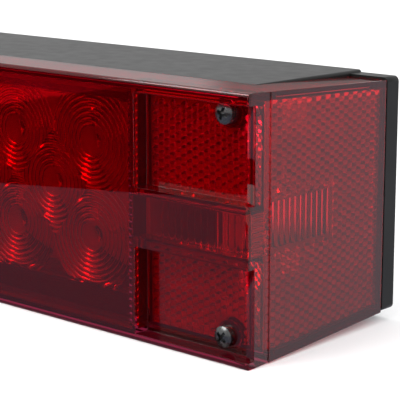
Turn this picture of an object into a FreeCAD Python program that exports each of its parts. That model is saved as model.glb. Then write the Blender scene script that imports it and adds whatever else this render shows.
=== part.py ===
import FreeCAD, Part
import os

# Wrap-around LED combination tail light for the kerb-side end of a trailer.
#
# Frame, in millimetres: +X runs along the lamp towards its wrap-around end, +Y runs
# backwards out of the mounting face, and +Z is up. The origin is on the mounting face,
# midway between the two mounting studs. "Depth" below means the distance behind the
# lamp's front plane, so depth 0 is the front and depth DEPTH is the mounting face.

# Driving dimensions of the whole lamp.
LENGTH = 213.0
HEIGHT = 73.0
DEPTH = 65.3
STUD_SPACING = 50.8
STUD_RADIUS = 3.175
STUD_REACH = 22.0
STUD_SHOULDER_R = 3.8
STUD_CHAMFER = 0.8

# The lamp closes in slightly from its front towards the mounting face.
TOP_SLOPE = 0.041
BOTTOM_SLOPE = 0.055

HALF_LENGTH = LENGTH / 2
HALF_HEIGHT = HEIGHT / 2

# Red outer lens.
LENS_WALL = 2.5
LENS_DEPTH = 59.3
FLANGE_DEPTH = 18.0
SIDE_FLANGE_WIDTH = 12.5
SEAL_GAP = 0.5
SEAL_RECESS = 0.8
STRIP_DEPTH = 8.5
PANEL_STEP = 0.3
FRONT_EDGE_R = 1.0

# The two recessed reflex pads at the wrap-around end of the lens.
PAD_LEFT = HALF_LENGTH - 40.9
PAD_RECESS = 5.0
PAD_LIP_RECESS = 2.65
PAD_LIP_WIDTH = 4.4
PAD_GAP_LOW = -9.6
PAD_GAP_HIGH = 7.2
PAD_TOP = 33.1
PAD_BOTTOM = -34.4
PAD_BACK = PAD_RECESS + LENS_WALL

# Lens screws: two, one in each reflex pad.
SCREW_X = HALF_LENGTH - 12.0
SCREW_UPPER_Z = 29.9
SCREW_LOWER_Z = -30.3
SCREW_SHANK_R = 1.75
SCREW_HEAD_R = 2.95
SCREW_HEAD_H = 2.2
SCREW_TIP_DEPTH = 25.0
BOSS_R = 4.0
LENS_BOSS_BACK = 8.2
SEAL_RING_R = 3.1

# Black housing.
SPIGOT_DEPTH = 9.0
SPIGOT_WALL = 2.0
SPIGOT_GAP = 0.3
HOUSING_TOP_FRONT = 35.7
HOUSING_TOP_BACK = 35.4
RIM_TOP = 34.7
REAR_WALL = 4.0
REAR_CORE_DEPTH = 1.6
HOUSING_WALL = 2.5
RIGHT_WALL_OUT = HALF_LENGTH - 5.2
RIM_RADIUS = 1.6
TOP_END_R = 1.0

# Lamp chamber, seen through the lens to the left of the reflex pads.
WINDOW_LEFT = -97.0
WINDOW_RIGHT = 62.0
WINDOW_LOW = -24.3
WINDOW_HIGH = 30.4
BEZEL_FRONT = 3.2
BEZEL_LOW = -30.3
BEZEL_HIGH = 32.4
BEZEL_FLANGE_T = 1.2
BEZEL_RIGHT = 62.9
OPTIC_T = 2.0
OPTIC_LIP = 1.0

# Light-emitting diodes stand in three staggered rows.
LED_PITCH = 31.4
LED_RIGHT_X = 46.4
LED_ROWS = (17.3, 3.65, -10.0)
LED_SIZE = 5.6
LED_HEIGHT = 2.2

BOARD_FRONT = 30.0
BOARD_T = 1.6
BOARD_BACK = BOARD_FRONT + BOARD_T
BOARD_SCREW_R = 1.2
STANDOFF_POINTS = ((-91.0, 27.0), (-91.0, -24.0), (57.0, 27.0), (57.0, -24.0))

# Side marker light at the wrap-around end.
BAFFLE_X = 63.4
MARKER_BOARD_X = 88.0
MARKER_LOW = -7.0
MARKER_HIGH = 8.5
MARKER_FRONT = 10.0
MARKER_BACK = 37.5
REFLECTOR_T = 1.0
REFLECTOR_GAP = 2.0
TRAY_BACK = PAD_BACK + REFLECTOR_GAP + REFLECTOR_T
SIDE_BACK_INSET = 3.2

# Lead outlet in the mounting face.
GROMMET_R = 6.0
GROMMET_FLANGE_R = 8.0
GROMMET_BORE_R = 3.5
GROMMET_FLANGE_T = 2.0

HEX_AF = 11.1
CLEARANCE = 0.15


def vec(x, y, z):
    """A point in the lamp's frame."""
    return FreeCAD.Vector(x, y, z)


def y_at(depth):
    """The Y coordinate of a depth behind the front plane."""
    return depth - DEPTH


def block(x0, x1, depth0, depth1, z0, z1):
    """A box between two X, two depth and two Z values."""
    return Part.makeBox(x1 - x0, depth1 - depth0, z1 - z0, vec(x0, y_at(depth0), z0))


def prism_x(x0, x1, outline):
    """A (depth, z) outline stretched along X."""
    points = [vec(x0, y_at(depth), z) for depth, z in outline]
    face = Part.Face(Part.makePolygon(points + points[:1]))
    return face.extrude(vec(x1 - x0, 0, 0))


def prism_z(z0, z1, outline):
    """An (x, depth) outline stretched along Z."""
    points = [vec(x, y_at(depth), z0) for x, depth in outline]
    face = Part.Face(Part.makePolygon(points + points[:1]))
    return face.extrude(vec(0, 0, z1 - z0))


def rod(radius, x, z, depth0, depth1):
    """A cylinder along Y at (x, z) between two depths."""
    return Part.makeCylinder(radius, depth1 - depth0, vec(x, y_at(depth0), z), vec(0, 1, 0))


def joined(shapes):
    """One shape fused from several."""
    result = shapes[0].fuse(shapes[1:]) if len(shapes) > 1 else shapes[0]
    return result.removeSplitter()


def group(shapes):
    """Separate solids that share one node."""
    return Part.makeCompound(shapes)


def lens_top(depth):
    """Height of the lens's outer top surface."""
    return HALF_HEIGHT - TOP_SLOPE * depth


def lens_bottom(depth):
    """Height of the lens's outer bottom surface."""
    return -HALF_HEIGHT + BOTTOM_SLOPE * depth


def tapered(x0, x1, depth0, depth1, inset):
    """A prism with the lamp's tapered section, inset from its top and bottom."""
    outline = [
        (depth0, lens_bottom(depth0) + inset),
        (depth1, lens_bottom(depth1) + inset),
        (depth1, lens_top(depth1) - inset),
        (depth0, lens_top(depth0) - inset),
    ]
    return prism_x(x0, x1, outline)


def pad_pocket(z0, z1):
    """The space of one reflex pad, open to the front and to the wrap-around end."""
    right = HALF_LENGTH + 5
    lip_x = HALF_LENGTH - 0.5
    outline = [
        (PAD_LEFT, -5),
        (PAD_LEFT, PAD_RECESS),
        (lip_x - PAD_LIP_WIDTH, PAD_RECESS),
        (lip_x, PAD_LIP_RECESS),
        (right, PAD_LIP_RECESS),
        (right, -5),
    ]
    return prism_z(z0, z1, outline)


def lens_screw_points():
    """X and Z of the two lens screws."""
    return ((SCREW_X, SCREW_UPPER_Z), (SCREW_X, SCREW_LOWER_Z))


def hook_blocks(inset):
    """The two hooks that hold the lens to the left end of the housing."""
    inner = -HALF_LENGTH + LENS_WALL
    return [
        block(inner - 1, inner + 1.2 + inset, 13 - inset, 16 + inset, z - 5 - inset, z + 5 + inset)
        for z in (-18, 18)
    ]


def make_outer_lens():
    """Red lens: front wall, right side wall and flanges, with two recessed reflex pads."""
    strip_x = HALF_LENGTH - PANEL_STEP
    shell = joined([
        tapered(-HALF_LENGTH, strip_x, 0, LENS_DEPTH, 0),
        tapered(0, HALF_LENGTH, STRIP_DEPTH, LENS_DEPTH, 0),
    ])
    front_edges = [
        edge for edge in shell.Edges
        if abs(edge.Vertexes[0].Y - edge.Vertexes[-1].Y) < 0.01
        and abs(edge.Vertexes[0].Y - y_at(0)) < 0.01
    ]
    shell = shell.makeFillet(FRONT_EDGE_R, front_edges)
    inner_right = HALF_LENGTH - LENS_WALL
    hollow = tapered(-HALF_LENGTH + LENS_WALL, inner_right, LENS_WALL, LENS_DEPTH + 1, LENS_WALL)
    shell = shell.cut(hollow)
    behind_flange = block(-HALF_LENGTH - 1, HALF_LENGTH - SIDE_FLANGE_WIDTH, FLANGE_DEPTH,
                          LENS_DEPTH + 1, -HEIGHT, HEIGHT)
    shell = shell.cut(behind_flange)
    pad_blocks = []
    for z0, z1 in ((PAD_GAP_HIGH - LENS_WALL, HALF_HEIGHT), (-HALF_HEIGHT, PAD_GAP_LOW + LENS_WALL)):
        solid = block(PAD_LEFT - LENS_WALL, HALF_LENGTH - 1, 1, PAD_BACK, z0, z1)
        pad_blocks.append(solid.common(tapered(0, HALF_LENGTH, 0, LENS_DEPTH, 1)))
    lens = joined([shell] + pad_blocks)
    bosses = [rod(BOSS_R, x, z, PAD_RECESS, LENS_BOSS_BACK) for x, z in lens_screw_points()]
    bosses = [boss.common(tapered(0, HALF_LENGTH, 0, LENS_DEPTH, 1)) for boss in bosses]
    lens = joined([lens] + bosses + hook_blocks(0))
    lens = lens.cut([pad_pocket(PAD_GAP_HIGH, PAD_TOP), pad_pocket(PAD_BOTTOM, PAD_GAP_LOW)])
    holes = [rod(SCREW_SHANK_R + 0.3, x, z, -1, 15) for x, z in lens_screw_points()]
    return lens.cut(holes).removeSplitter()


def hex_prism(across_flats, depth0, depth1, x, z):
    """A hexagonal prism along Y."""
    radius = across_flats / 3 ** 0.5
    points = []
    for corner in range(6):
        spoke = FreeCAD.Rotation(vec(0, 1, 0), 60 * corner).multVec(vec(radius, 0, 0))
        points.append(vec(x + spoke.x, y_at(depth0), z + spoke.z))
    face = Part.Face(Part.makePolygon(points + points[:1]))
    return face.extrude(vec(0, depth1 - depth0, 0))


def make_stud(x):
    """A quarter-inch stud whose hexagonal head is moulded into the rear wall."""
    head = hex_prism(HEX_AF, 56.5, 60.7, x, 0)
    shoulder = rod(STUD_SHOULDER_R, x, 0, 60.7, DEPTH)
    shank = rod(STUD_RADIUS, x, 0, DEPTH, DEPTH + STUD_REACH - STUD_CHAMFER)
    tip = Part.makeCone(STUD_RADIUS, STUD_RADIUS - STUD_CHAMFER, STUD_CHAMFER,
                        vec(x, STUD_REACH - STUD_CHAMFER, 0), vec(0, 1, 0))
    return joined([head, shoulder, shank, tip])


def stud_points():
    """X of the left and right mounting studs."""
    return (-STUD_SPACING / 2, STUD_SPACING / 2)


def make_grommet():
    """Rubber grommet that seals the lamp's leads in the rear wall."""
    body = rod(GROMMET_R, 0, 0, DEPTH - REAR_WALL, DEPTH)
    flange = rod(GROMMET_FLANGE_R, 0, 0, DEPTH - REAR_WALL - GROMMET_FLANGE_T, DEPTH - REAR_WALL)
    bore = rod(GROMMET_BORE_R, 0, 0, DEPTH - REAR_WALL - GROMMET_FLANGE_T - 1, DEPTH + 1)
    return joined([body, flange]).cut(bore)


def rounded_rim():
    """The rear rim that the lens stops against, with its corners rounded."""
    low = lens_bottom(LENS_DEPTH)
    rim = block(-HALF_LENGTH, HALF_LENGTH, LENS_DEPTH + SEAL_GAP, DEPTH, low, RIM_TOP)
    along_depth = [
        edge for edge in rim.Edges
        if abs(edge.Vertexes[0].X - edge.Vertexes[-1].X) < 0.01
        and abs(edge.Vertexes[0].Z - edge.Vertexes[-1].Z) < 0.01
    ]
    return rim.makeFillet(RIM_RADIUS, along_depth)


def rear_cores():
    """Shallow pockets that core out the mounting face and leave ribs between them."""
    middle = ((-36.5, -1.5), (1.5, 36.5))
    outer = ((-101.0, -71.5), (-68.5, -39.5), (39.5, 66.5), (69.5, 96.5))
    pockets = [(span, (15.0, 30.0)) for span in middle]
    pockets += [(span, (-28.0, -15.0)) for span in middle]
    pockets += [(span, (1.5, 30.0)) for span in outer]
    pockets += [(span, (-28.0, -1.5)) for span in outer]
    cores = []
    for (x0, x1), (z0, z1) in pockets:
        core = block(x0, x1, DEPTH - REAR_CORE_DEPTH, DEPTH + 1, z0, z1)
        corners = [edge for edge in core.Edges if edge.BoundBox.YLength > 1]
        cores.append(core.makeFillet(2.0, corners))
    return cores


def make_housing():
    """Black housing: a box that is open to the front, with a rim, bosses and a rear wall."""
    front = FLANGE_DEPTH + SEAL_GAP
    body_right = HALF_LENGTH - SIDE_FLANGE_WIDTH - SEAL_GAP
    body = prism_x(-HALF_LENGTH, body_right, [
        (front, lens_bottom(front)),
        (DEPTH, lens_bottom(DEPTH)),
        (DEPTH, HOUSING_TOP_BACK),
        (front, HOUSING_TOP_FRONT),
    ])
    top_ends = [
        edge for edge in body.Edges
        if edge.BoundBox.XLength < 0.01 and edge.BoundBox.ZMin > 35 and edge.BoundBox.YLength > 40
    ]
    body = body.makeFillet(TOP_END_R, top_ends)
    spigot_out = tapered(-HALF_LENGTH + LENS_WALL + SPIGOT_GAP, RIGHT_WALL_OUT, SPIGOT_DEPTH,
                         LENS_DEPTH + 2, LENS_WALL + SPIGOT_GAP)
    tray_room = block(PAD_LEFT - 0.6, HALF_LENGTH, SPIGOT_DEPTH - 1, TRAY_BACK + 0.4,
                      -HALF_HEIGHT, HALF_HEIGHT)
    spigot_left = -HALF_LENGTH + LENS_WALL + SPIGOT_GAP + SPIGOT_WALL
    spigot_in = tapered(spigot_left, RIGHT_WALL_OUT - HOUSING_WALL, SPIGOT_DEPTH - 1,
                        DEPTH - REAR_WALL, LENS_WALL + SPIGOT_GAP + SPIGOT_WALL)
    step = front + HOUSING_WALL
    rear_hollow = prism_x(-HALF_LENGTH + HOUSING_WALL, body_right - HOUSING_WALL, [
        (step, lens_bottom(step) + HOUSING_WALL),
        (DEPTH - REAR_WALL, lens_bottom(DEPTH - REAR_WALL) + HOUSING_WALL),
        (DEPTH - REAR_WALL, HOUSING_TOP_BACK - HOUSING_WALL),
        (step, HOUSING_TOP_BACK - HOUSING_WALL),
    ])
    housing = joined([body, spigot_out, rounded_rim()]).cut([spigot_in, rear_hollow, tray_room])
    screw_bosses = [
        rod(BOSS_R, x, z, SPIGOT_DEPTH, DEPTH - 1).common(spigot_out) for x, z in lens_screw_points()
    ]
    standoffs = [rod(3.2, x, z, BOARD_BACK, DEPTH - 1) for x, z in STANDOFF_POINTS]
    stud_bosses = [rod(9.5, x, 0, 55.0, DEPTH - 1) for x in stud_points()]
    rails = []
    for x0 in (MARKER_BOARD_X - 1.75, MARKER_BOARD_X + BOARD_T + 0.15):
        rails.append(block(x0, x0 + 1.6, 44, DEPTH - 1, -11, 12))
    housing = joined([housing] + screw_bosses + standoffs + stud_bosses + rails)
    marker_window = block(RIGHT_WALL_OUT - 10, RIGHT_WALL_OUT + 1, MARKER_FRONT, MARKER_BACK,
                          MARKER_LOW, MARKER_HIGH)
    cuts = [marker_window]
    cuts += [rod(SCREW_SHANK_R, x, z, 0, SCREW_TIP_DEPTH + 1) for x, z in lens_screw_points()]
    cuts += [rod(BOARD_SCREW_R, x, z, 0, BOARD_BACK + 9) for x, z in STANDOFF_POINTS]
    cuts += [make_stud(x) for x in stud_points()]
    cuts += [rod(GROMMET_R, 0, 0, 50, DEPTH + 1)]
    cuts += hook_blocks(0.25)
    cuts += rear_cores()
    return housing.cut(cuts).removeSplitter()


def seal_strip(side, x0, x1, depth0, depth1):
    """A strip of the lens seal just under the lens's top (side 1) or bottom (side -1)."""
    surface = lens_top if side > 0 else lens_bottom
    outline = [
        (depth0, surface(depth0) - side * SEAL_RECESS),
        (depth1, surface(depth1) - side * SEAL_RECESS),
        (depth1, surface(depth1) - side * LENS_WALL),
        (depth0, surface(depth0) - side * LENS_WALL),
    ]
    return prism_x(x0, x1, outline)


def make_gasket():
    """Rubber seal along the whole seam between the lens and the housing."""
    left = -HALF_LENGTH + SEAL_RECESS
    right = HALF_LENGTH - SEAL_RECESS
    flange_x = HALF_LENGTH - SIDE_FLANGE_WIDTH
    front_back = FLANGE_DEPTH + SEAL_GAP
    rear_back = LENS_DEPTH + SEAL_GAP
    strips = []
    for side in (1, -1):
        strips.append(seal_strip(side, left, flange_x, FLANGE_DEPTH, front_back))
        strips.append(seal_strip(side, flange_x - SEAL_GAP, flange_x, FLANGE_DEPTH, rear_back))
        strips.append(seal_strip(side, flange_x - SEAL_GAP, right, LENS_DEPTH, rear_back))
    strips.append(tapered(left, -HALF_LENGTH + LENS_WALL, FLANGE_DEPTH, front_back, SEAL_RECESS))
    strips.append(tapered(HALF_LENGTH - LENS_WALL, right, LENS_DEPTH, rear_back, SEAL_RECESS))
    return joined(strips)


def make_bezel():
    """Black frame that borders the lamp chamber, with a lip behind the optic plate."""
    left = WINDOW_LEFT - 3.5
    frame = block(left, BEZEL_RIGHT, BEZEL_FRONT, SPIGOT_DEPTH, BEZEL_LOW, BEZEL_HIGH)
    flange = block(left, BEZEL_RIGHT, SPIGOT_DEPTH - BEZEL_FLANGE_T, SPIGOT_DEPTH,
                   -BEZEL_HIGH, BEZEL_HIGH)
    seat = block(WINDOW_LEFT, WINDOW_RIGHT, 0, BEZEL_FRONT + OPTIC_T, WINDOW_LOW, WINDOW_HIGH)
    opening = block(WINDOW_LEFT + OPTIC_LIP, WINDOW_RIGHT - OPTIC_LIP, 0, DEPTH,
                    WINDOW_LOW + OPTIC_LIP, WINDOW_HIGH - OPTIC_LIP)
    return joined([frame, flange]).cut([seat, opening])


def make_optic_plate():
    """Plate of ring optics that sits in the bezel behind the lens."""
    return block(WINDOW_LEFT + CLEARANCE, WINDOW_RIGHT - CLEARANCE, BEZEL_FRONT,
                 BEZEL_FRONT + OPTIC_T, WINDOW_LOW + CLEARANCE, WINDOW_HIGH - CLEARANCE)


def led_points():
    """X and Z of every light-emitting diode: five, four and five."""
    points = []
    for row, z in enumerate(LED_ROWS):
        shift = LED_PITCH / 2 if row == 1 else 0
        count = 4 if row == 1 else 5
        points += [(LED_RIGHT_X - shift - LED_PITCH * step, z) for step in range(count)]
    return points


def make_led(x, z):
    """One diode: a square package with a low dome."""
    half = LED_SIZE / 2
    package = block(x - half, x + half, BOARD_FRONT - 1.2, BOARD_FRONT, z - half, z + half)
    dome_height = LED_HEIGHT - 1.2
    dome_radius = (2.2 ** 2 + dome_height ** 2) / (2 * dome_height)
    centre_depth = BOARD_FRONT - 1.2 - dome_height + dome_radius
    dome = Part.makeSphere(dome_radius, vec(x, y_at(centre_depth), z))
    cap = block(x - 3, x + 3, BOARD_FRONT - 1.2 - dome_height - 1, BOARD_FRONT - 1.2, z - 3, z + 3)
    return joined([package, dome.common(cap)])


def make_main_board():
    """Circuit board of the stop, tail and turn light."""
    board = block(-98.5, 61.8, BOARD_FRONT, BOARD_BACK, -28.5, 31)
    return board.cut([rod(1.5, x, z, 20, 40) for x, z in STANDOFF_POINTS])


def pan_head(x, z, seat, radius, height, crown, arm, arm_width):
    """A pan head that stands forward of its seat depth, with a cross recess."""
    front = seat - height
    head = rod(radius, x, z, front, seat)
    rim = [
        edge for edge in head.Edges
        if abs(edge.BoundBox.YMin - y_at(front)) < 0.01
        and abs(edge.BoundBox.YMax - y_at(front)) < 0.01
    ]
    head = head.makeFillet(crown, rim)
    half = arm_width / 2
    floor = front + 0.6 * height
    recess = group([
        block(x - arm, x + arm, front - 1, floor, z - half, z + half),
        block(x - half, x + half, front - 1, floor, z - arm, z + arm),
    ])
    return head.cut(recess)


def make_board_screw(x, z):
    """A small pan-head screw that holds the main board to a standoff."""
    head = pan_head(x, z, BOARD_FRONT, 2.5, 1.6, 0.6, 1.3, 0.6)
    shank = rod(BOARD_SCREW_R, x, z, BOARD_FRONT, BOARD_BACK + 8)
    return joined([head, shank])


def make_lens_screw(z):
    """Pan-head cross-recess screw through a reflex pad into a housing boss."""
    head = pan_head(SCREW_X, z, PAD_RECESS, SCREW_HEAD_R, SCREW_HEAD_H, 1.0, 1.75, 0.9)
    shank = rod(SCREW_SHANK_R, SCREW_X, z, PAD_RECESS, SCREW_TIP_DEPTH - 2)
    tip = Part.makeCone(SCREW_SHANK_R, 0.6, 2, vec(SCREW_X, y_at(SCREW_TIP_DEPTH - 2), z),
                        vec(0, 1, 0))
    return joined([head, shank, tip])


def make_boss_seals():
    """Rubber rings that seal the lens round its two screws."""
    rings = []
    for x, z in lens_screw_points():
        ring = rod(SEAL_RING_R, x, z, LENS_BOSS_BACK, SPIGOT_DEPTH)
        rings.append(ring.cut(rod(SCREW_SHANK_R + 0.1, x, z, 0, 20)))
    return group(rings)


def make_pad_back(z0, z1, screw_z):
    """Opaque tray welded behind one reflex pad, with a corner cleared for the screw boss."""
    left = PAD_LEFT - 0.4
    right = HALF_LENGTH - LENS_WALL - 0.4
    tray = block(left, right, PAD_BACK, TRAY_BACK, z0, z1)
    rim = REFLECTOR_T
    hollow = block(left + rim, right - rim, 0, PAD_BACK + REFLECTOR_GAP, z0 + rim, z1 - rim)
    return tray.cut([hollow, rod(BOSS_R + 0.5, SCREW_X, screw_z, 0, 20)])


def make_side_back():
    """Opaque back of the side reflector, with a window for the side marker light."""
    x0 = RIGHT_WALL_OUT
    plate = tapered(x0, x0 + REFLECTOR_T, TRAY_BACK + 0.4, 57.5, SIDE_BACK_INSET)
    window = block(x0 - 1, x0 + 2, MARKER_FRONT + 0.6, MARKER_BACK - 0.6,
                   MARKER_LOW + 0.6, MARKER_HIGH - 0.6)
    return plate.cut(window)


def make_baffle():
    """Upright wall that keeps the brake light out of the reflex end of the lamp."""
    wall = block(BAFFLE_X, BAFFLE_X + 1.5, 8.2, DEPTH - REAR_WALL, -28.5, 28.5)
    lead_notch = block(BAFFLE_X - 1, BAFFLE_X + 3, 36, DEPTH - REAR_WALL + 1, -1, 7)
    return wall.cut(lead_notch)


def make_marker_board():
    """Circuit board of the side marker, standing on edge in its rails."""
    return block(MARKER_BOARD_X, MARKER_BOARD_X + BOARD_T, 12, 61, -9.5, 11)


def make_marker_leds():
    """Two diodes that shine through the ribbed window in the lens's side."""
    x0 = MARKER_BOARD_X + BOARD_T
    return group([block(x0, x0 + 1.8, depth - 2.8, depth + 2.8, -2.0, 3.6) for depth in (18.5, 29.5)])


def make_resistors():
    """Current-limiting resistors in a row on the back of the main board."""
    return group([
        block(x - 1.6, x + 1.6, BOARD_BACK, BOARD_BACK + 0.6, -20.8, -19.2)
        for x in range(-80, 50, 16)
    ])


def make_diodes():
    """Three protection diodes, one for each lead."""
    return group([
        block(x - 2.3, x + 2.3, BOARD_BACK, BOARD_BACK + 2.3, 13.7, 16.3) for x in (-12, 0, 12)
    ])


def make_regulators():
    """Two current regulators on the back of the main board."""
    return group([
        block(x - 2.5, x + 2.5, BOARD_BACK, BOARD_BACK + 1.7, -2, 2) for x in (-60, -45)
    ])


def make_terminals():
    """Three brass tabs for the stop and turn, tail and ground leads."""
    return group([
        block(x - 3.1, x + 3.1, BOARD_BACK, BOARD_BACK + 8, 3.6, 4.4) for x in (-10, 0, 10)
    ])


def make_jumper(z):
    """One jumper lead from the main board to the side marker board."""
    start_x = 58.0
    turn = 38.0
    bend = 4.0
    corner = bend * (1 - 0.5 ** 0.5)
    first = Part.LineSegment(vec(start_x, y_at(BOARD_BACK), z), vec(start_x, y_at(turn - bend), z))
    arc = Part.Arc(
        vec(start_x, y_at(turn - bend), z),
        vec(start_x + corner, y_at(turn - corner), z),
        vec(start_x + bend, y_at(turn), z),
    )
    last = Part.LineSegment(vec(start_x + bend, y_at(turn), z), vec(MARKER_BOARD_X, y_at(turn), z))
    path = Part.Wire([first.toShape(), arc.toShape(), last.toShape()])
    circle = Part.makeCircle(0.8, vec(start_x, y_at(BOARD_BACK), z), vec(0, 1, 0))
    return path.makePipeShell([Part.Wire([circle])], True, False)


def make_potting():
    """Epoxy plug that closes the lead outlet on the inside."""
    top = DEPTH - REAR_WALL - GROMMET_FLANGE_T
    return rod(GROMMET_FLANGE_R + 1, 0, 0, top - 2.2, top)


def all_parts():
    """Every node's name and shape."""
    return {
        "rear_housing": make_housing(),
        "outer_lens": make_outer_lens(),
        "lens_gasket": make_gasket(),
        "inner_bezel": make_bezel(),
        "led_optic_plate": make_optic_plate(),
        "main_circuit_board": make_main_board(),
        "main_leds": group([make_led(x, z) for x, z in led_points()]),
        "current_resistors": make_resistors(),
        "protection_diodes": make_diodes(),
        "current_regulators": make_regulators(),
        "lead_terminals": make_terminals(),
        "board_screws": group([make_board_screw(x, z) for x, z in STANDOFF_POINTS]),
        "upper_reflector_back": make_pad_back(PAD_GAP_HIGH - 2, 33.2, SCREW_UPPER_Z),
        "lower_reflector_back": make_pad_back(-33.0, PAD_GAP_LOW + 2, SCREW_LOWER_Z),
        "side_reflector_back": make_side_back(),
        "light_baffle": make_baffle(),
        "side_marker_board": make_marker_board(),
        "side_marker_leds": make_marker_leds(),
        "marker_jumper_leads": group([make_jumper(0.5), make_jumper(5.0)]),
        "upper_lens_screw": make_lens_screw(SCREW_UPPER_Z),
        "lower_lens_screw": make_lens_screw(SCREW_LOWER_Z),
        "lens_screw_seals": make_boss_seals(),
        "left_mounting_stud": make_stud(stud_points()[0]),
        "right_mounting_stud": make_stud(stud_points()[1]),
        "lead_grommet": make_grommet(),
        "potting_plug": make_potting(),
    }


os.makedirs("parts", exist_ok=True)
for name, shape in all_parts().items():
    valid = shape.isValid() and all(solid.isClosed() for solid in shape.Solids)
    print(f"{name}: {len(shape.Solids)} solids, {shape.Volume:.1f} mm3, valid {valid}")
    shape.exportStep(os.path.join("parts", name + ".step"))
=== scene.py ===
import math

import bmesh
import bpy
from mathutils import Matrix, Vector


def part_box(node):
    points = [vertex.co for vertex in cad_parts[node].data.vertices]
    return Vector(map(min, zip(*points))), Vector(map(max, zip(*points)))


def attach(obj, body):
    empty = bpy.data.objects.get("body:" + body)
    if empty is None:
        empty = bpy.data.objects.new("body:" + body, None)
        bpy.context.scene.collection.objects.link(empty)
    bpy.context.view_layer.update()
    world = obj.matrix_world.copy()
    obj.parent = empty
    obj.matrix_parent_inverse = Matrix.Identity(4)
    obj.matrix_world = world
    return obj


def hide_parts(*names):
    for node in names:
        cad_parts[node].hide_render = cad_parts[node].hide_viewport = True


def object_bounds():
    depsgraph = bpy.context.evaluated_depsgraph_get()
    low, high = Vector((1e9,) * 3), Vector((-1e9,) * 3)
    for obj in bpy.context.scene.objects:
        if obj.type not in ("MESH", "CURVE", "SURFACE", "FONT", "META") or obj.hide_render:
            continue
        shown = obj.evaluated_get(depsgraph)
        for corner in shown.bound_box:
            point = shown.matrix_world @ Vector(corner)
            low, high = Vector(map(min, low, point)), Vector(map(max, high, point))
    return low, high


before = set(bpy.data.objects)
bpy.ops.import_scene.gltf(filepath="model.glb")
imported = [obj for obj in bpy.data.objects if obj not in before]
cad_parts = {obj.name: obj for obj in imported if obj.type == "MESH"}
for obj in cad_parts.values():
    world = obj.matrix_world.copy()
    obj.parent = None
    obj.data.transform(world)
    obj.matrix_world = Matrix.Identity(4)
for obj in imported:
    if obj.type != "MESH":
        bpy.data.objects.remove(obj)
cad_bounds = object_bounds()

# A millimetre in metres, then the mesh helpers' limits: how near vertices merge, in metres, how
# far from flat faces may be to join, and how nearly along an axis a normal counts as flat.
MM = 0.001
MERGE_DISTANCE = 2e-6
FLAT_WITHIN_DEGREES = 0.4
AXIS_ALIGNED = 0.997

# Places on the lamp, in millimetres in the frame's axes, as its CAD solids have them.
DEPTH = 65.3
HALF_HEIGHT = 36.5
TOP_SLOPE = 0.041
BOTTOM_SLOPE = 0.055
LENS_WALL = 2.5
PAD_BACK = 7.5
PAD_GAP_LOW = -9.6
PAD_GAP_HIGH = 7.2
SCREWS = ((94.5, 29.9), (94.5, -30.3))
SIDE_INNER_X = 104.0
LED_PITCH = 31.4
LED_RIGHT_X = 46.4
LED_ROWS = (17.3, 3.65, -10.0)

# Softened edges and screw heads, in millimetres.
LENS_EDGE = 0.3
HOUSING_EDGE = 0.35
SCREW_EDGE = 0.08
SCREW_DOME_R = 5.2
DOMED_ROD_R = 4.0
DOMED_ROD_LENGTH = 30

# Reflex prisms. Relief starts inside the wall that it stands on, so that the two join.
PRISM_PITCH = 2.37
PRISM_EMBED = 0.45
SLAB_BASE = 0.35
PAD_PRISMS_X = (67.5, 101.3)
UPPER_PAD_PRISMS_Z = (7.6, 30.9)
LOWER_PAD_PRISMS_Z = (-30.7, -9.9)
SIDE_PRISMS_DEPTH = (9.0, 57.0)
SIDE_PRISMS_Z = (-35.0, 35.0)
SIDE_PRISM_MARGIN = 1.7
SCREW_CLEARING_R = 5.6
MARKER_CLEARING_DEPTH = (9.8, 37.6)
MARKER_CLEARING_Z = (-6.6, 7.9)

# Flutes, and the least height that keeps a relief proud of its wall.
FLUTE_EMBED = 0.6
LEAST_RELIEF = 0.02
GAP_FLUTES_X = (73.0, 103.4)
GAP_FLUTES_MARGIN = 3
MARKER_FLUTES_DEPTH = (10.8, 36.6)
MARKER_FLUTES_Z = (-5.6, 6.9)
CORNER_FLUTES_DEPTH = (3.0, 7.2)
CORNER_FLUTES_Z = (-9.0, 6.6)
EDGE_FLUTES_X = (62.2, 63.6)
EDGE_FLUTES_Z = (-33.0, 33.0)

# Ring optics.
RING_DOME_R = 4.2
RING_PITCH = 1.55
RING_HEIGHT = 0.68
RING_LIMIT = 17.0
RING_REACH = 26
CELL_MERGE_DISTANCE = 0.02


# ---------------------------------------------------------------- mesh helpers

def point(x, depth, z):
    """A point from X, the depth behind the front plane, and Z, in millimetres."""
    return Vector((x, depth - DEPTH, z)) * MM


def mesh_object(name, bm):
    """A scene object from a bmesh, which is then freed."""
    mesh = bpy.data.meshes.new(name)
    bm.to_mesh(mesh)
    bm.free()
    obj = bpy.data.objects.new(name, mesh)
    bpy.context.scene.collection.objects.link(obj)
    return obj


def copy_into(part, bm):
    """Moves one bmesh's faces into another."""
    made = {vert: bm.verts.new(vert.co) for vert in part.verts}
    for face in part.faces:
        bm.faces.new([made[vert] for vert in face.verts])
    part.free()


def copy_of(node, name):
    """A free copy of a CAD node's shape, without its stored normals and with its vertices merged."""
    packed = bmesh.new()
    packed.from_mesh(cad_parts[node].data)
    bm = bmesh.new()
    copy_into(packed, bm)
    bmesh.ops.remove_doubles(bm, verts=bm.verts, dist=MERGE_DISTANCE)
    flat = math.radians(FLAT_WITHIN_DEGREES)
    bmesh.ops.dissolve_limit(bm, angle_limit=flat, verts=bm.verts, edges=bm.edges)
    bmesh.ops.recalc_face_normals(bm, faces=bm.faces)
    return mesh_object(name, bm)


def apply_modifiers(obj):
    """Bakes an object's modifiers into its mesh."""
    graph = bpy.context.evaluated_depsgraph_get()
    mesh = bpy.data.meshes.new_from_object(obj.evaluated_get(graph))
    obj.modifiers.clear()
    obj.data = mesh


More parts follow.
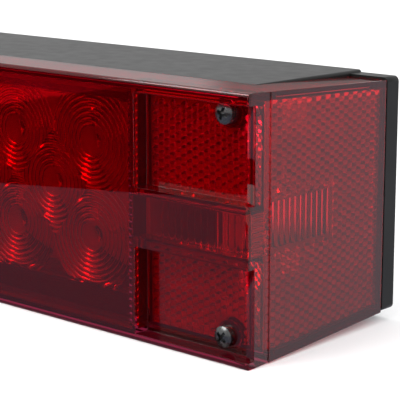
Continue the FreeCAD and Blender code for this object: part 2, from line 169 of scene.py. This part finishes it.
def bevel(obj, width, angle):
    """Rounds an object's edges that are sharper than the angle by a small width in millimetres."""
    mod = obj.modifiers.new("bevel", "BEVEL")
    mod.width = width * MM
    mod.segments = 2
    mod.limit_method = "ANGLE"
    mod.angle_limit = math.radians(angle)
    mod.use_clamp_overlap = True
    mod.harden_normals = False


def combine(obj, other, operation):
    """Applies a boolean of two closed meshes and removes the second."""
    mod = obj.modifiers.new("boolean", "BOOLEAN")
    mod.object = other
    mod.operation = operation
    mod.solver = "MANIFOLD"
    apply_modifiers(obj)
    bpy.data.objects.remove(other)


def smooth(obj, angle):
    """Smooth shading on all but axis-aligned faces, with edges sharper than the angle kept crisp."""
    mesh = obj.data
    mesh.set_sharp_from_angle(angle=math.radians(angle))
    for polygon in mesh.polygons:
        polygon.use_smooth = max(abs(c) for c in polygon.normal) < AXIS_ALIGNED


# ---------------------------------------------------------------- optical relief

def prism_sheet(u_range, v_range, place, keep):
    """
    A closed slab whose one side is a field of cube-corner prisms.

    Cell centres lie on a hexagonal lattice inside the two ranges, with neighbours
    along v. place(u, v, height) gives the world point at a height above the wall.
    keep(u, v) is true for a cell that is wanted.
    """
    edge = PRISM_PITCH / math.sqrt(2)
    spoke = edge * math.sqrt(2 / 3)
    near = -PRISM_EMBED
    mid = near + edge / math.sqrt(3)
    tip = near + 2 * edge / math.sqrt(3)
    step_u = PRISM_PITCH * math.sqrt(3) / 2
    bm = bmesh.new()
    found = {}

    def vertex(u, v, height):
        key = (round(u, 3), round(v, 3))
        if key not in found:
            found[key] = bm.verts.new(place(u, v, height))
        return found[key]

    columns = int((u_range[1] - u_range[0]) / step_u)
    u_start = (u_range[0] + u_range[1] - columns * step_u) / 2
    for column in range(columns + 1):
        u = u_start + column * step_u
        shift = PRISM_PITCH / 2 if column % 2 else 0
        rows = int((v_range[1] - v_range[0] - shift) / PRISM_PITCH)
        for row in range(rows + 1):
            v = v_range[0] + shift + row * PRISM_PITCH
            if not keep(u, v):
                continue
            centre = bm.verts.new(place(u, v, tip))
            corners = []
            for corner in range(6):
                turn = math.radians(60 * corner)
                height = mid if corner % 2 else near
                corners.append(vertex(u + spoke * math.cos(turn), v + spoke * math.sin(turn), height))
            for corner in (1, 3, 5):
                ring = [corners[(corner + k) % 6] for k in range(3)]
                bm.faces.new([centre] + ring)
    close_slab(bm, place)
    return bm


def close_slab(bm, place):
    """Closes an open relief with side walls and a flat base inside the wall."""
    base = -PRISM_EMBED - SLAB_BASE
    origin = place(0, 0, base)
    normal = (place(0, 0, 1) - place(0, 0, 0)).normalized()
    rim = [e for e in bm.edges if len(e.link_faces) == 1]
    made = bmesh.ops.extrude_edge_only(bm, edges=rim)["geom"]
    for vert in [g for g in made if isinstance(g, bmesh.types.BMVert)]:
        vert.co -= normal * (vert.co - origin).dot(normal)
    rim = [e for e in bm.edges if len(e.link_faces) == 1]
    bmesh.ops.holes_fill(bm, edges=rim, sides=0)
    bmesh.ops.recalc_face_normals(bm, faces=bm.faces)


def flute_bar(along, across, pitch, height, place):
    """A closed slab of rounded flutes: they run along the first range and repeat across the second."""
    arcs = 6
    count = max(1, round((across[1] - across[0]) / pitch))
    step = (across[1] - across[0]) / count
    outline = [(across[0], -FLUTE_EMBED)]
    for flute in range(count):
        for arc in range(arcs + 1):
            if arc == 0 and flute:
                continue
            share = arc / arcs
            outline.append((across[0] + (flute + share) * step, height * math.sin(math.pi * share)))
    outline.append((across[1], -FLUTE_EMBED))
    bm = bmesh.new()
    rings = []
    for end in along:
        ring = []
        for place_across, h in outline:
            proud = h if h == -FLUTE_EMBED else max(h, LEAST_RELIEF)
            ring.append(bm.verts.new(place(end, place_across, proud)))
        rings.append(ring)
    total = len(outline)
    for i in range(total):
        j = (i + 1) % total
        bm.faces.new([rings[0][i], rings[0][j], rings[1][j], rings[1][i]])
    bm.faces.new(rings[0])
    bm.faces.new(rings[1])
    bmesh.ops.recalc_face_normals(bm, faces=bm.faces)
    return bm


# ---------------------------------------------------------------- lens

def clear_of_screws(u, v):
    """True where a pad prism clears both screw bosses."""
    return all(math.hypot(u - x, v - z) > SCREW_CLEARING_R for x, z in SCREWS)


def on_side_reflector(forward, z):
    """True where a side prism lies between the lens's edges and clears the side marker's window."""
    depth = -forward
    top = HALF_HEIGHT - TOP_SLOPE * depth
    bottom = -HALF_HEIGHT + BOTTOM_SLOPE * depth
    beside_marker = MARKER_CLEARING_DEPTH[0] < depth < MARKER_CLEARING_DEPTH[1]
    level_with_marker = MARKER_CLEARING_Z[0] < z < MARKER_CLEARING_Z[1]
    on_wall = bottom + SIDE_PRISM_MARGIN < z < top - SIDE_PRISM_MARGIN
    return on_wall and not (beside_marker and level_with_marker)


def make_lens():
    """The red lens: the CAD shape with softened edges, reflex prisms and light-spreading flutes."""
    lens = copy_of("outer_lens", "lens")
    bevel(lens, LENS_EDGE, angle=40)
    apply_modifiers(lens)

    def behind_pad(u, v, height):
        return point(u, PAD_BACK + height, v)

    def inside_side(u, v, height):
        return point(SIDE_INNER_X - height, -u, v)

    def behind_front(u, v, height):
        return point(v, LENS_WALL + height, u)

    def front_level(u, v, height):
        return point(u, LENS_WALL + height, v)

    def side_upright(u, v, height):
        return point(SIDE_INNER_X - height, v, u)

    def side_level(u, v, height):
        return point(SIDE_INNER_X - height, u, v)

    side_prisms_forward = (-SIDE_PRISMS_DEPTH[1], -SIDE_PRISMS_DEPTH[0])
    gap_flutes_z = (PAD_GAP_LOW + GAP_FLUTES_MARGIN, PAD_GAP_HIGH - GAP_FLUTES_MARGIN)
    reliefs = [
        prism_sheet(PAD_PRISMS_X, UPPER_PAD_PRISMS_Z, behind_pad, clear_of_screws),
        prism_sheet(PAD_PRISMS_X, LOWER_PAD_PRISMS_Z, behind_pad, clear_of_screws),
        prism_sheet(side_prisms_forward, SIDE_PRISMS_Z, inside_side, on_side_reflector),
        flute_bar(gap_flutes_z, GAP_FLUTES_X, pitch=2.4, height=0.22, place=behind_front),
        flute_bar(MARKER_FLUTES_Z, MARKER_FLUTES_DEPTH, pitch=2.3, height=0.5, place=side_upright),
        flute_bar(CORNER_FLUTES_DEPTH, CORNER_FLUTES_Z, pitch=1.35, height=0.3, place=side_level),
        flute_bar(EDGE_FLUTES_X, EDGE_FLUTES_Z, pitch=2.0, height=0.5, place=front_level),
    ]
    for index, relief in enumerate(reliefs):
        combine(lens, mesh_object(f"relief{index}", relief), "UNION")
    smooth(lens, 30)
    return lens


def domed_rod(centre, crown):
    """A round solid on a screw's axis, whose front is a shallow dome with its crown at one depth."""
    segments = 72
    steps = 16
    profile = []
    for step in range(1, steps + 1):
        radius = DOMED_ROD_R * step / steps
        profile.append((radius, crown + SCREW_DOME_R - math.sqrt(SCREW_DOME_R ** 2 - radius ** 2)))
    profile.append((DOMED_ROD_R, crown + DOMED_ROD_LENGTH))
    bm = bmesh.new()
    rings = []
    for radius, depth in profile:
        ring = []
        for k in range(segments):
            turn = 2 * math.pi * k / segments
            x = centre[0] + radius * math.cos(turn)
            z = centre[1] + radius * math.sin(turn)
            ring.append(bm.verts.new(point(x, depth, z)))
        rings.append(ring)
    tip = bm.verts.new(point(centre[0], crown, centre[1]))
    for k in range(segments):
        j = (k + 1) % segments
        bm.faces.new([tip, rings[0][k], rings[0][j]])
        for inner, outer in zip(rings, rings[1:]):
            bm.faces.new([inner[k], outer[k], outer[j], inner[j]])
    bm.faces.new(rings[-1])
    bmesh.ops.recalc_face_normals(bm, faces=bm.faces)
    return bm


def make_screw(node, name, centre, turn):
    """A lens screw with a domed head, turned about its own axis by some degrees, its edges softened."""
    screw = copy_of(node, name)
    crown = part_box(node)[0].y / MM + DEPTH
    combine(screw, mesh_object(name + "_dome", domed_rod(centre, crown)), "INTERSECT")
    axis = point(centre[0], 0, centre[1])
    spin = Matrix.Rotation(math.radians(turn), 4, "Y")
    screw.data.transform(Matrix.Translation(axis) @ spin @ Matrix.Translation(-axis))
    bevel(screw, SCREW_EDGE, angle=40)
    apply_modifiers(screw)
    smooth(screw, 35)
    return screw


# ---------------------------------------------------------------- ring optics

def led_points():
    """X and Z of every light-emitting diode."""
    points = []
    for row, z in enumerate(LED_ROWS):
        shift = LED_PITCH / 2 if row == 1 else 0
        count = 4 if row == 1 else 5
        points += [(LED_RIGHT_X - shift - LED_PITCH * step, z) for step in range(count)]
    return points


def ring_profile():
    """Radius and height of every circle of one ring optic: a dome, its rings and a flat surround."""
    circles = []
    dome_steps = 8
    for step in range(1, dome_steps):
        share = step / dome_steps
        circles.append((RING_DOME_R * share, RING_HEIGHT * math.cos(share * math.pi / 2)))
    ridge = ((0.05, 0.04), (0.5, 0.9), (0.58, 1.0), (0.68, 0.9), (0.95, 0.04))
    for ring in range(int((RING_LIMIT - RING_DOME_R) / RING_PITCH)):
        for share, height in ridge:
            circles.append((RING_DOME_R + (ring + share) * RING_PITCH, height * RING_HEIGHT))
    circles += [(RING_LIMIT, LEAST_RELIEF), (RING_REACH, LEAST_RELIEF)]
    return circles


def ring_cell(bm, centre, others, low, high, valley):
    """Adds one ring optic, cut off halfway to each neighbour and at the plate's edges."""
    part = bmesh.new()
    segments = 108
    previous = None
    middle = part.verts.new((centre[0], valley + RING_HEIGHT, centre[1]))
    for radius, height in ring_profile():
        loop = []
        for k in range(segments):
            turn = 2 * math.pi * k / segments
            x = centre[0] + radius * math.cos(turn)
            z = centre[1] + radius * math.sin(turn)
            loop.append(part.verts.new((x, valley + height, z)))
        for k in range(segments):
            j = (k + 1) % segments
            if previous is None:
                part.faces.new([middle, loop[k], loop[j]])
            else:
                part.faces.new([previous[k], loop[k], loop[j], previous[j]])
        previous = loop
    cuts = [((low[0], 0, 0), (-1, 0, 0)), ((high[0], 0, 0), (1, 0, 0)),
            ((0, 0, low[1]), (0, 0, -1)), ((0, 0, high[1]), (0, 0, 1))]
    for other in others:
        gap = Vector((other[0] - centre[0], 0, other[1] - centre[1]))
        if 0 < gap.length < 2 * RING_REACH:
            half = ((other[0] + centre[0]) / 2, 0, (other[1] + centre[1]) / 2)
            cuts.append((half, gap.normalized()))
    for place, normal in cuts:
        geometry = part.verts[:] + part.edges[:] + part.faces[:]
        bmesh.ops.bisect_plane(part, geom=geometry, plane_co=place, plane_no=normal, clear_outer=True)
    copy_into(part, bm)


def face_outwards(bm, low, high):
    """Turns the plate's faces outwards: the flat front, the ridged back and the four sides."""
    middle = (low + high) / 2
    front_tolerance = 1e-5
    side_limit = 0.1
    for face in bm.faces:
        face.normal_update()
        centre = face.calc_center_median()
        behind = centre.y - low.y > front_tolerance
        outward = face.normal.y if behind else -face.normal.y
        if abs(face.normal.y) < side_limit:
            outward = face.normal.dot(centre - middle)
        if outward < 0:
            face.normal_flip()


def make_optic():
    """The clear plate of ring optics: flat in front, ridged behind."""
    low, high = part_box("led_optic_plate")
    x0, x1 = low.x / MM, high.x / MM
    z0, z1 = low.z / MM, high.z / MM
    front = low.y / MM
    valley = high.y / MM - RING_HEIGHT
    bm = bmesh.new()
    centres = led_points()
    for centre in centres:
        ring_cell(bm, centre, centres, (x0, z0), (x1, z1), valley)
    bmesh.ops.remove_doubles(bm, verts=bm.verts, dist=CELL_MERGE_DISTANCE)
    outline = ((x0, z0), (x1, z0), (x1, z1), (x0, z1))
    corners = [bm.verts.new((x, front, z)) for x, z in outline]
    bm.faces.new(corners)
    rim_low = [bm.verts.new((x, valley, z)) for x, z in outline]
    for i in range(4):
        j = (i + 1) % 4
        bm.faces.new([corners[i], corners[j], rim_low[j], rim_low[i]])
    for vert in bm.verts:
        vert.co *= MM
    face_outwards(bm, low, high)
    obj = mesh_object("ring_optics", bm)
    smooth(obj, 34)
    return obj


# ---------------------------------------------------------------- materials

class Shader:
    """A material under construction: thin helpers over its node tree."""

    def __init__(self, name):
        self.material = bpy.data.materials.new(name)
        self.material.use_nodes = True
        self.tree = self.material.node_tree
        self.surface = self.tree.nodes["Principled BSDF"]
        self.coords = self.tree.nodes.new("ShaderNodeTexCoord")

    def set(self, **values):
        """Sets sockets of the surface shader, whose names have underscores for spaces."""
        for key, value in values.items():
            self.surface.inputs[key.replace("_", " ")].default_value = value

    def link(self, source, target):
        self.tree.links.new(source, target)

    def node(self, kind, **values):
        made = self.tree.nodes.new(kind)
        for key, value in values.items():
            if hasattr(made, key):
                setattr(made, key, value)
            else:
                made.inputs[key.replace("_", " ")].default_value = value
        return made

    def noise(self, scale, detail=2.0, roughness=0.5, stretch=(1, 1, 1)):
        """A noise value over the object's own coordinates."""
        mapping = self.node("ShaderNodeMapping")
        mapping.inputs["Scale"].default_value = stretch
        self.link(self.coords.outputs["Object"], mapping.inputs["Vector"])
        made = self.node("ShaderNodeTexNoise", Scale=scale, Detail=detail, Roughness=roughness)
        self.link(mapping.outputs["Vector"], made.inputs["Vector"])
        return made.outputs["Fac"]

    def ramp(self, value, low, high, colour_low, colour_high):
        """A colour that goes from one to another as the value goes from low to high."""
        made = self.node("ShaderNodeValToRGB")
        made.color_ramp.elements[0].position = low
        made.color_ramp.elements[1].position = high
        made.color_ramp.elements[0].color = colour_low
        made.color_ramp.elements[1].color = colour_high
        self.link(value, made.inputs["Fac"])
        return made.outputs["Color"]

    def spread(self, value, low, high, out_low, out_high):
        """A number that goes from one to another as the value goes from low to high."""
        made = self.node("ShaderNodeMapRange")
        made.inputs["From Min"].default_value = low
        made.inputs["From Max"].default_value = high
        made.inputs["To Min"].default_value = out_low
        made.inputs["To Max"].default_value = out_high
        self.link(value, made.inputs["Value"])
        return made.outputs["Result"]

    def colour(self, source):
        self.link(source, self.surface.inputs["Base Color"])

    def rough(self, source):
        self.link(source, self.surface.inputs["Roughness"])

    def bump(self, value, strength, distance):
        """Surface relief from a value, with its depth in millimetres."""
        made = self.node("ShaderNodeBump", Strength=strength, Distance=distance * MM)
        self.link(value, made.inputs["Height"])
        self.link(made.outputs["Normal"], self.surface.inputs["Normal"])


def grey(level):
    return (level, level, level, 1.0)


def red_acrylic():
    shader = Shader("red_acrylic")
    shader.set(IOR=1.49, Transmission_Weight=0.975)
    tint = shader.noise(60, 3)
    shader.colour(shader.ramp(tint, 0.3, 0.7, (0.84, 0.0015, 0.013, 1), (0.92, 0.003, 0.02, 1)))
    shader.rough(shader.spread(shader.noise(900, 2), 0.35, 0.75, 0.0, 0.012))
    shader.bump(shader.noise(110, 1), 0.12, 0.05)
    return shader.material


def clear_polycarbonate():
    shader = Shader("clear_polycarbonate")
    shader.set(IOR=1.585, Transmission_Weight=0.97)
    shader.colour(shader.ramp(shader.noise(40, 2), 0.3, 0.7, (0.9, 0.9, 0.92, 1), (0.97, 0.97, 0.98, 1)))
    shader.rough(shader.spread(shader.noise(700, 2), 0.3, 0.7, 0.01, 0.04))
    shader.bump(shader.noise(260, 1), 0.1, 0.04)
    return shader.material


def moulded_black(name, level, rough_low, rough_high, gloss=0.2):
    """Black moulded plastic with a fine grain and slightly uneven gloss."""
    shader = Shader(name)
    shader.set(IOR=1.5, Specular_IOR_Level=gloss)
    broad = shader.noise(35, 3)
    shader.colour(shader.ramp(broad, 0.3, 0.7, grey(level * 0.8), grey(level * 1.25)))
    shader.rough(shader.spread(shader.noise(220, 4), 0.3, 0.7, rough_low, rough_high))
    shader.bump(shader.noise(2600, 3, 0.6), 0.35, 0.03)
    return shader.material


def rubber():
    shader = Shader("black_rubber")
    shader.colour(shader.ramp(shader.noise(90, 3), 0.3, 0.7, grey(0.012), grey(0.028)))
    shader.rough(shader.spread(shader.noise(500, 3), 0.3, 0.7, 0.6, 0.85))
    shader.bump(shader.noise(1800, 3), 0.3, 0.04)
    return shader.material


def reflector_plastic(name, level):
    """Grey moulded plastic behind the lens, which returns light to what stands in front of it."""
    shader = Shader(name)
    dark = (level * 0.92, level * 0.89, level * 0.87, 1)
    light = (level * 1.08, level * 1.04, level * 1.02, 1)
    shader.colour(shader.ramp(shader.noise(90, 3), 0.3, 0.7, dark, light))
    shader.rough(shader.spread(shader.noise(500, 3), 0.3, 0.7, 0.4, 0.6))
    shader.bump(shader.noise(1500, 2), 0.2, 0.03)
    return shader.material


def sealant():
    """Cured grey silicone in the seam between the lens and the housing."""
    shader = Shader("seam_sealant")
    shader.colour(shader.ramp(shader.noise(120, 3), 0.3, 0.7, (0.15, 0.145, 0.14, 1), (0.2, 0.19, 0.185, 1)))
    shader.rough(shader.spread(shader.noise(300, 3), 0.3, 0.7, 0.4, 0.6))
    shader.bump(shader.noise(700, 3), 0.4, 0.05)
    return shader.material


def plated_metal(name, light, dark, rough_low, rough_high):
    """A plated metal with a faint grain along one axis."""
    shader = Shader(name)
    shader.set(Metallic=1.0)
    shader.colour(shader.ramp(shader.noise(180, 4), 0.3, 0.72, dark, light))
    shader.rough(shader.spread(shader.noise(1500, 3, 0.6, (1, 0.15, 1)), 0.3, 0.7, rough_low, rough_high))
    shader.bump(shader.noise(1400, 3, 0.6, (1, 0.2, 1)), 0.25, 0.03)
    return shader.material


def black_zinc():
    """Black plated screw with the plating a little uneven."""
    shader = Shader("black_zinc")
    shader.set(IOR=1.7, Specular_IOR_Level=0.8)
    shader.colour(shader.ramp(shader.noise(700, 4), 0.35, 0.7, grey(0.004), grey(0.016)))
    shader.rough(shader.spread(shader.noise(1200, 3), 0.3, 0.7, 0.16, 0.3))
    shader.bump(shader.noise(1500, 3), 0.2, 0.02)
    return shader.material


def solder_mask():
    shader = Shader("white_solder_mask")
    weave = shader.noise(1500, 1)
    shader.colour(shader.ramp(weave, 0.35, 0.65, (0.76, 0.76, 0.73, 1), (0.84, 0.84, 0.81, 1)))
    shader.rough(shader.spread(shader.noise(300, 3), 0.3, 0.7, 0.3, 0.5))
    shader.bump(weave, 0.2, 0.03)
    return shader.material


def led_epoxy():
    shader = Shader("led_epoxy")
    shader.set(IOR=1.5)
    shader.colour(shader.ramp(shader.noise(400, 2), 0.35, 0.65, (0.7, 0.62, 0.35, 1), (0.85, 0.82, 0.7, 1)))
    shader.rough(shader.spread(shader.noise(600, 2), 0.3, 0.7, 0.08, 0.2))
    shader.bump(shader.noise(800, 2), 0.1, 0.02)
    return shader.material


def brass():
    return plated_metal("tinned_brass", (0.78, 0.62, 0.32, 1), (0.55, 0.42, 0.2, 1), 0.22, 0.4)


def insulation():
    shader = Shader("red_insulation")
    shader.colour(shader.ramp(shader.noise(200, 3), 0.3, 0.7, (0.28, 0.012, 0.012, 1), (0.4, 0.025, 0.02, 1)))
    shader.rough(shader.spread(shader.noise(400, 3), 0.3, 0.7, 0.3, 0.45))
    shader.bump(shader.noise(900, 2), 0.2, 0.03)
    return shader.material


def floor_paper():
    shader = Shader("pale_floor")
    shader.colour(shader.ramp(shader.noise(3, 2), 0.3, 0.7, grey(0.88), grey(0.9)))
    shader.rough(shader.spread(shader.noise(60, 2), 0.3, 0.7, 0.7, 0.8))
    return shader.material


def card(name, level, colour=(1.0, 1.0, 1.0, 1), fade=None):
    """
    A studio card's own light.

    It has one level, or fades smoothly to another. fade is the direction of the fade,
    its start and end along that direction in metres, and the level at its end.
    """
    material = bpy.data.materials.new(name)
    material.use_nodes = True
    tree = material.node_tree
    tree.nodes.clear()
    out = tree.nodes.new("ShaderNodeOutputMaterial")
    light = tree.nodes.new("ShaderNodeEmission")
    light.inputs["Color"].default_value = colour
    light.inputs["Strength"].default_value = level
    tree.links.new(light.outputs["Emission"], out.inputs["Surface"])
    if fade:
        along, start, end, far_level = fade
        coords = tree.nodes.new("ShaderNodeTexCoord")
        place = tree.nodes.new("ShaderNodeVectorMath")
        place.operation = "DOT_PRODUCT"
        place.inputs[1].default_value = along
        spread = tree.nodes.new("ShaderNodeMapRange")
        spread.interpolation_type = "SMOOTHSTEP"
        spread.inputs["From Min"].default_value = start
        spread.inputs["From Max"].default_value = end
        spread.inputs["To Min"].default_value = level
        spread.inputs["To Max"].default_value = far_level
        tree.links.new(coords.outputs["Object"], place.inputs[0])
        tree.links.new(place.outputs["Value"], spread.inputs["Value"])
        tree.links.new(spread.outputs["Result"], light.inputs["Strength"])
    return material


def coat(obj, material):
    """Gives an object one material."""
    obj.data.materials.clear()
    obj.data.materials.append(material)


def dress(obj, material, slot, *nodes):
    """Finishes a new piece: its material and its body, and hides the nodes it stands for. The slot is not
    used.
    """
    coat(obj, material)
    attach(obj, "root")
    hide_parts(*nodes)


# ---------------------------------------------------------------- the lamp

dress(make_lens(), red_acrylic(), "red_lens", "outer_lens")
dress(make_optic(), clear_polycarbonate(), "clear_optic", "led_optic_plate")

housing = copy_of("rear_housing", "housing")
bevel(housing, HOUSING_EDGE, angle=50)
apply_modifiers(housing)
smooth(housing, 32)
dress(housing, moulded_black("black_abs", 0.011, 0.36, 0.41, 0.12), "black_abs", "rear_housing")

screw_finish = black_zinc()
for screw_node, screw_centre, screw_turn in (
        ("upper_lens_screw", SCREWS[0], 20), ("lower_lens_screw", SCREWS[1], 38)):
    piece = make_screw(screw_node, screw_node.replace("_lens", ""), screw_centre, screw_turn)
    dress(piece, screw_finish, "black_screw", screw_node)

trim = moulded_black("black_trim", 0.006, 0.5, 0.65)
pale_back = reflector_plastic("pale_reflector_back", 0.4)
chip = moulded_black("chip_epoxy", 0.02, 0.4, 0.55, 0.5)
zinc = plated_metal("zinc_plate", (0.72, 0.73, 0.75, 1), (0.5, 0.51, 0.53, 1), 0.2, 0.38)
board = solder_mask()
led = led_epoxy()
rubber_black = rubber()
finishes = {
    "lens_gasket": sealant(),
    "lens_screw_seals": rubber_black,
    "lead_grommet": rubber_black,
    "inner_bezel": trim,
    "light_baffle": pale_back,
    "main_circuit_board": board,
    "side_marker_board": board,
    "main_leds": led,
    "side_marker_leds": led,
    "current_resistors": chip,
    "protection_diodes": chip,
    "current_regulators": chip,
    "lead_terminals": brass(),
    "board_screws": zinc,
    "left_mounting_stud": zinc,
    "right_mounting_stud": zinc,
    "upper_reflector_back": pale_back,
    "lower_reflector_back": pale_back,
    # Painted shade: the side reflector's back gets a darker copy of the pale reflector plastic, which darkens
    # the lamp's side.
    "side_reflector_back": reflector_plastic("side_reflector_back", 0.36),
    "marker_jumper_leads": insulation(),
    "potting_plug": moulded_black("potting_epoxy", 0.02, 0.15, 0.25, 0.5),
}
for node_name, node_material in finishes.items():
    coat(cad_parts[node_name], node_material)


# ---------------------------------------------------------------- the studio

def flat_sheet(name, corners, material):
    """A flat four-cornered stage piece, with its corners in metres."""
    bm = bmesh.new()
    bm.faces.new([bm.verts.new(corner) for corner in corners])
    obj = mesh_object(name, bm)
    obj.data.materials.append(material)
    return obj


def seen_only(obj, in_reflections):
    """Keeps a studio card out of everything but mirror-like reflections, or views through the lens."""
    obj.visible_camera = False
    obj.visible_diffuse = False
    obj.visible_glossy = in_reflections
    obj.visible_transmission = not in_reflections
    obj.visible_shadow = False
    obj.visible_volume_scatter = False


FLOOR_Z = cad_bounds[0][2]
FLOOR_REACH = 4.0

# Heights of the floor cards above the floor, in metres, so that none lies in another's plane.
# The card under the lamp shares the pale table card's height: no kind of ray sees both.
BLACK_LIFT = 0.0004
GREY_LIFT = 0.0003
TABLE_LIFT = 0.0002
APRON_LIFT = 0.0001

# Two points on the line between the grey card and the black one, how far that line runs
# each way from the first point, and how far the black card reaches away from the lamp.
HAZE_EDGE = ((-0.1292, -0.1856), (-0.0837, -0.2048))
HAZE_LEFT = 2.5
HAZE_RIGHT = 0.9
BLACK_REACH = 3
LAMP_FRONT_Y = -0.066
GREY_X = (-1.2, 0.12)

# The two cards behind stand on one line: its middle, its direction and how far it runs each way.
BEHIND = (-1.4, 1.6)
ACROSS = (0.75, 0.66, 0)
BEHIND_REACH = 2.2
LOW_BACK_TOP = 0.27
HIGH_BACK_TOP = 0.62
FADE_WIDTH = 0.08

# Where the soft lights aim.
LAMP_MIDDLE = (0.06, -0.03, 0.0)


def lying(x_range, y_range, lift):
    """Corners of a rectangle that lies a little above the floor."""
    height = FLOOR_Z + lift
    (x0, x1), (y0, y1) = x_range, y_range
    return [Vector((x, y, height)) for x, y in ((x0, y0), (x1, y0), (x1, y1), (x0, y1))]


def upright(foot_a, foot_b, low_z, high_z):
    """Corners of an upright rectangle over the line between two points, from one height to another."""
    (ax, ay), (bx, by) = foot_a, foot_b
    places = ((ax, ay, low_z), (bx, by, low_z), (bx, by, high_z), (ax, ay, high_z))
    return [Vector(place) for place in places]


def make_mirrored_floor():
    """Black, grey and pale cards on the floor, which only the lamp's reflections see."""
    edge_a, edge_b = (Vector((x, y, FLOOR_Z + BLACK_LIFT)) for x, y in HAZE_EDGE)
    along = (edge_b - edge_a).normalized()
    out = Vector((along.y, -along.x, 0))
    if out.y > 0:
        out = -out
    left, right = edge_a - along * HAZE_LEFT, edge_a + along * HAZE_RIGHT
    far = [right + out * BLACK_REACH, left + out * BLACK_REACH]
    seen_only(flat_sheet("black_card", [left, right] + far, card("card_black", 0.0)), True)
    near = [Vector((x, LAMP_FRONT_Y, FLOOR_Z + GREY_LIFT)) for x in GREY_X]
    grey_finish = card("card_grey", 0.3, (0.7, 0.72, 1, 1))
    seen_only(flat_sheet("grey_card", near + [right, left], grey_finish), True)
    span = (-FLOOR_REACH, FLOOR_REACH)
    table_finish = card("card_table", 0.95, (0.9, 0.9, 1, 1))
    seen_only(flat_sheet("table_card", lying(span, span, TABLE_LIFT), table_finish), True)


def make_mirrored_back():
    """A dim card and a bright one above it behind the lamp, which only its reflections see."""
    behind = Vector((*BEHIND, FLOOR_Z))
    across = Vector(ACROSS)
    middle = behind.dot(across)
    ends = [(behind + across * side * BEHIND_REACH).to_2d() for side in (-1, 1)]
    fade = (across, middle, middle + FADE_WIDTH, 0.19)
    low = upright(*ends, FLOOR_Z, FLOOR_Z + LOW_BACK_TOP)
    seen_only(flat_sheet("low_back_card", low, card("card_low_back", 0.45, fade=fade)), True)
    high = upright(*ends, FLOOR_Z + LOW_BACK_TOP, FLOOR_Z + HIGH_BACK_TOP)
    seen_only(flat_sheet("high_back_card", high, card("card_high_back", 1.2)), True)


def make_dark_cards_and_painted_shadow():
    """Dark cards under, in front of and beside the lamp, which only views through its lens see. The card
    under the lamp is painted shadow: the lamp's own shade on the floor.
    """
    cards = (
        # Painted shadow: this dark card under the lamp stands for the lamp's shade on the floor, as seen
        # through the lens.
        ("under", lying((-0.11, 0.24), (-0.08, 0.08), TABLE_LIFT), 0.03),
        ("apron", lying((-0.3, 0.5), (-0.5, -0.07), APRON_LIFT), 0.03),
        ("right", upright((0.6, -0.25), (0.6, 0.55), FLOOR_Z, 0.2), 0.05),
        ("front", upright((-0.1, -0.9), (0.6, -0.9), FLOOR_Z, 0.32), 0.25),
    )
    for name, corners, level in cards:
        seen_only(flat_sheet(f"{name}_card", corners, card(f"card_{name}", level)), False)


def make_studio():
    """Pale floor, even sky and soft lights, with cards that stand in for a room round the lamp, and a dark
    card under it that is painted shadow.
    """
    span = (-FLOOR_REACH, FLOOR_REACH)
    flat_sheet("floor", lying(span, span, 0), floor_paper())
    make_mirrored_floor()
    make_mirrored_back()
    make_dark_cards_and_painted_shadow()
    make_sky()
    add_softbox("key", (-0.35, -0.75, 0.75), LAMP_MIDDLE, size=0.7, power=9)
    add_softbox("fill", (0.9, 0.1, 0.6), LAMP_MIDDLE, size=0.6, power=4)
    sun = bpy.data.lights.new("overhead", "SUN")
    sun.energy = 1.3
    sun.angle = math.radians(80)
    bpy.context.scene.collection.objects.link(bpy.data.objects.new("overhead", sun))


def make_sky():
    """An even white sky, dimmer for the light it sheds than as a backdrop."""
    world = bpy.data.worlds.new("sky")
    world.use_nodes = True
    tree = world.node_tree
    backdrop = tree.nodes["Background"]
    backdrop.inputs["Strength"].default_value = 1.0
    backdrop.inputs["Color"].default_value = grey(1.0)
    shed = tree.nodes.new("ShaderNodeBackground")
    shed.inputs["Strength"].default_value = 0.75
    shed.inputs["Color"].default_value = grey(1.0)
    path = tree.nodes.new("ShaderNodeLightPath")
    mix = tree.nodes.new("ShaderNodeMixShader")
    tree.links.new(path.outputs["Is Camera Ray"], mix.inputs["Fac"])
    tree.links.new(shed.outputs["Background"], mix.inputs[1])
    tree.links.new(backdrop.outputs["Background"], mix.inputs[2])
    tree.links.new(mix.outputs["Shader"], tree.nodes["World Output"].inputs["Surface"])
    bpy.context.scene.world = world


def add_softbox(name, place, target, size, power):
    """A square area light aimed at a point."""
    data = bpy.data.lights.new(name, "AREA")
    data.size = size
    data.energy = power
    obj = bpy.data.objects.new(name, data)
    obj.location = place
    aim = Vector(target) - Vector(place)
    obj.rotation_euler = aim.to_track_quat("-Z", "Y").to_euler()
    bpy.context.scene.collection.objects.link(obj)


CAMERA_YAW = 41.767
CAMERA_PITCH = 12.031
CAMERA_LENS = 138.94
CAMERA_PLACE = (0.35273, -0.35985, 0.09109)


def make_camera():
    """A long lens, to the lamp's right and a little above it."""
    yaw = math.radians(CAMERA_YAW)
    pitch = math.radians(CAMERA_PITCH)
    flat = math.cos(pitch)
    back = Vector((math.sin(yaw) * flat, -math.cos(yaw) * flat, math.sin(pitch)))
    data = bpy.data.cameras.new("camera")
    data.lens = CAMERA_LENS
    data.sensor_width = 36
    data.clip_start = 0.01
    obj = bpy.data.objects.new("camera", data)
    obj.location = CAMERA_PLACE
    obj.rotation_euler = back.to_track_quat("Z", "Y").to_euler()
    bpy.context.scene.collection.objects.link(obj)
    bpy.context.scene.camera = obj


make_studio()
make_camera()
bpy.context.scene.view_settings.view_transform = "Standard"
